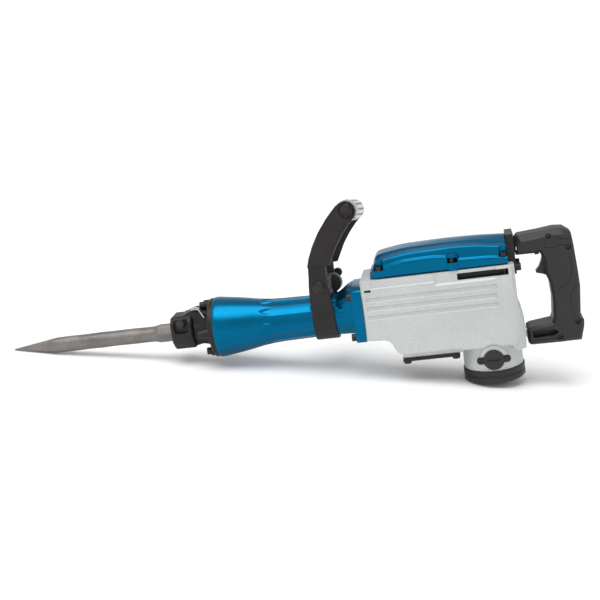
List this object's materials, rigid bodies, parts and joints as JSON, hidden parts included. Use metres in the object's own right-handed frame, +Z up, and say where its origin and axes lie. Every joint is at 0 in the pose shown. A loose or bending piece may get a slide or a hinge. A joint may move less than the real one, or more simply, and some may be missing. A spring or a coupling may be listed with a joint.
{
  "type": "electric jackhammer",
  "caption": "Electric demolition hammer lying on its chisel point and motor cap, with a blue barrel and cover, a silver housing, a swivelling side handle and a D-shaped rear handle.",
  "frame": {"origin": "floor point under the middle of the tool at rest, where it lies on its chisel point and on the front rim of the motor cap", "axes": "+X runs from the chisel point to the rear handle along the floor, +Z is up, the working axis rises 9.80 degrees towards the rear"},
  "size_m": [1.002, 0.1698, 0.3095],
  "materials": {
    "cast_silver": "fine speckled powder coat on a light-alloy casting",
    "blue_paint": "metallic blue coat on a light-alloy casting, satin gloss",
    "black_paint": "satin black coat with a fine orange peel",
    "black_plastic": "fine-grained moulded plastic",
    "trigger_plastic": "smooth moulded plastic",
    "forged_steel": "forged, drawn and tumbled, oiled",
    "black_steel": "black oxide",
    "bright_steel": "machined",
    "alloy": "machined",
    "knurled_alloy": "knurled, dark anodised crests worn bright",
    "rubber": "moulded",
    "copper": "lacquered copper",
    "brass": "drawn",
    "carbon": "pressed carbon",
    "fan_plastic": "moulded"
  },
  "bodies": {
    "hammer_body": {"tool_retainer": "black_paint", "tool_sleeve": "bright_steel", "rubber_damper": "rubber", "impact_bush": "bright_steel", "cylinder_tube": "bright_steel", "barrel_tube": "blue_paint", "flange_ring": "black_paint", "casing_bolts": "black_steel", "casing_screws": "bright_steel", "bearings": "bright_steel", "gear_housing": "cast_silver", "crank_plate": "black_paint", "base_plate": "black_paint", "bottom_plate_bolts": "black_steel", "top_cover": "blue_paint", "cover_screws": "black_steel", "handle_block": "black_paint", "guide_bolt": "bright_steel", "springs": "bright_steel", "stator": "bright_steel", "carbon_brushes": "carbon", "brush_holders": "brass", "brush_caps": "black_plastic", "brush_cap_screws": "black_steel", "motor_cap": "black_plastic"},
    "chisel": {"chisel": "forged_steel"},
    "stop_lever": {"stop_lever": "black_steel"},
    "anvil": {"anvil": "bright_steel"},
    "striker": {"striker": "bright_steel", "striker_ring": "rubber"},
    "piston": {"piston": "alloy", "piston_pin": "bright_steel", "piston_ring": "rubber"},
    "connecting_rod": {"connecting_rod": "bright_steel"},
    "crankshaft": {"crankshaft": "bright_steel", "crank_gear": "bright_steel"},
    "idler": {"idler_gear": "bright_steel", "idler_pinion": "bright_steel"},
    "armature": {"armature_shaft": "bright_steel", "armature_core": "bright_steel", "armature_windings": "copper", "commutator": "copper", "cooling_fan": "fan_plastic"},
    "rear_handle": {"handle_shell_near": "black_plastic", "handle_shell_far": "black_plastic", "handle_screws": "black_steel", "handle_pins": "bright_steel", "cord_gland": "black_plastic", "switch": "black_plastic"},
    "trigger": {"trigger": "trigger_plastic"},
    "lock_button": {"lock_button": "trigger_plastic"},
    "side_handle": {"strap": "black_paint", "saddle": "black_paint", "side_arm_near": "black_paint", "side_arm_far": "black_paint", "side_grip": "knurled_alloy", "grip_bolt": "black_steel", "clamp_bolt": "black_steel"},
    "wing_knob": {"wing_knob": "black_plastic"}
  },
  "joints": [
    {"name": "chisel_slide", "type": "slide", "parent": "hammer_body", "child": "chisel", "axis": [0.9854, 0, 0.1702], "range_m": [0, 0.012]},
    {"name": "stop_lever_turn", "type": "hinge", "parent": "hammer_body", "child": "stop_lever", "pos_m": [-0.18493, -0.01971, 0.07531], "axis": [0, 1, 0], "range_deg": [0, 180]},
    {"name": "anvil_slide", "type": "slide", "parent": "hammer_body", "child": "anvil", "axis": [-0.9854, 0, -0.1702], "range_m": [0, 0.012]},
    {"name": "striker_slide", "type": "slide", "parent": "hammer_body", "child": "striker", "axis": [-0.9854, 0, -0.1702], "range_m": [0, 0.04]},
    {"name": "piston_slide", "type": "slide", "parent": "hammer_body", "child": "piston", "axis": [-0.9854, 0, -0.1702], "range_m": [0, 0.03]},
    {"name": "rod_swing", "type": "hinge", "parent": "piston", "child": "connecting_rod", "pos_m": [0.20331, -0.01971, 0.12331], "axis": [-0.1702, 0, 0.9854], "range_deg": [-12.3, 12.3]},
    {"name": "armature_spin", "type": "hinge", "parent": "hammer_body", "child": "armature", "pos_m": [0.3425, -0.01971, 0.14735], "axis": [-0.1702, 0, 0.9854], "continuous": true},
    {"name": "idler_spin", "type": "hinge", "parent": "hammer_body", "child": "idler", "pos_m": [0.31171, -0.01971, 0.14203], "axis": [-0.1702, 0, 0.9854], "continuous": true},
    {"name": "crank_spin", "type": "hinge", "parent": "hammer_body", "child": "crankshaft", "pos_m": [0.25751, -0.01971, 0.13267], "axis": [-0.1702, 0, 0.9854], "continuous": true},
    {"name": "handle_damper", "type": "hinge", "parent": "hammer_body", "child": "rear_handle", "pos_m": [0.38766, -0.01971, 0.23837], "axis": [0, 1, 0], "range_deg": [0, 0.9], "stiffness_Nm_per_rad": 300, "springref_deg": -0.57},
    {"name": "trigger_pull", "type": "hinge", "parent": "rear_handle", "child": "trigger", "pos_m": [0.43708, -0.01971, 0.22255], "axis": [0, -1, 0], "range_deg": [0, 8], "stiffness_Nm_per_rad": 2, "springref_deg": -8.59},
    {"name": "lock_press", "type": "slide", "parent": "rear_handle", "child": "lock_button", "axis": [0, 1, 0], "range_m": [0, 0.003], "stiffness_N_per_m": 400, "springref_m": -0.002},
    {"name": "side_handle_turn", "type": "hinge", "parent": "hammer_body", "child": "side_handle", "pos_m": [0.06856, -0.01971, 0.10003], "axis": [0.9854, 0, 0.1702], "continuous": true},
    {"name": "knob_turn", "type": "hinge", "parent": "side_handle", "child": "wing_knob", "pos_m": [0.06275, 0.0688, 0.13954], "axis": [0.024, 0.99, -0.1388], "continuous": true}
  ],
  "couplings": [
    {"joint": "idler_spin", "follows": "armature_spin", "ratio": -0.31579},
    {"joint": "crank_spin", "follows": "armature_spin", "ratio": 0.14737}
  ]
}
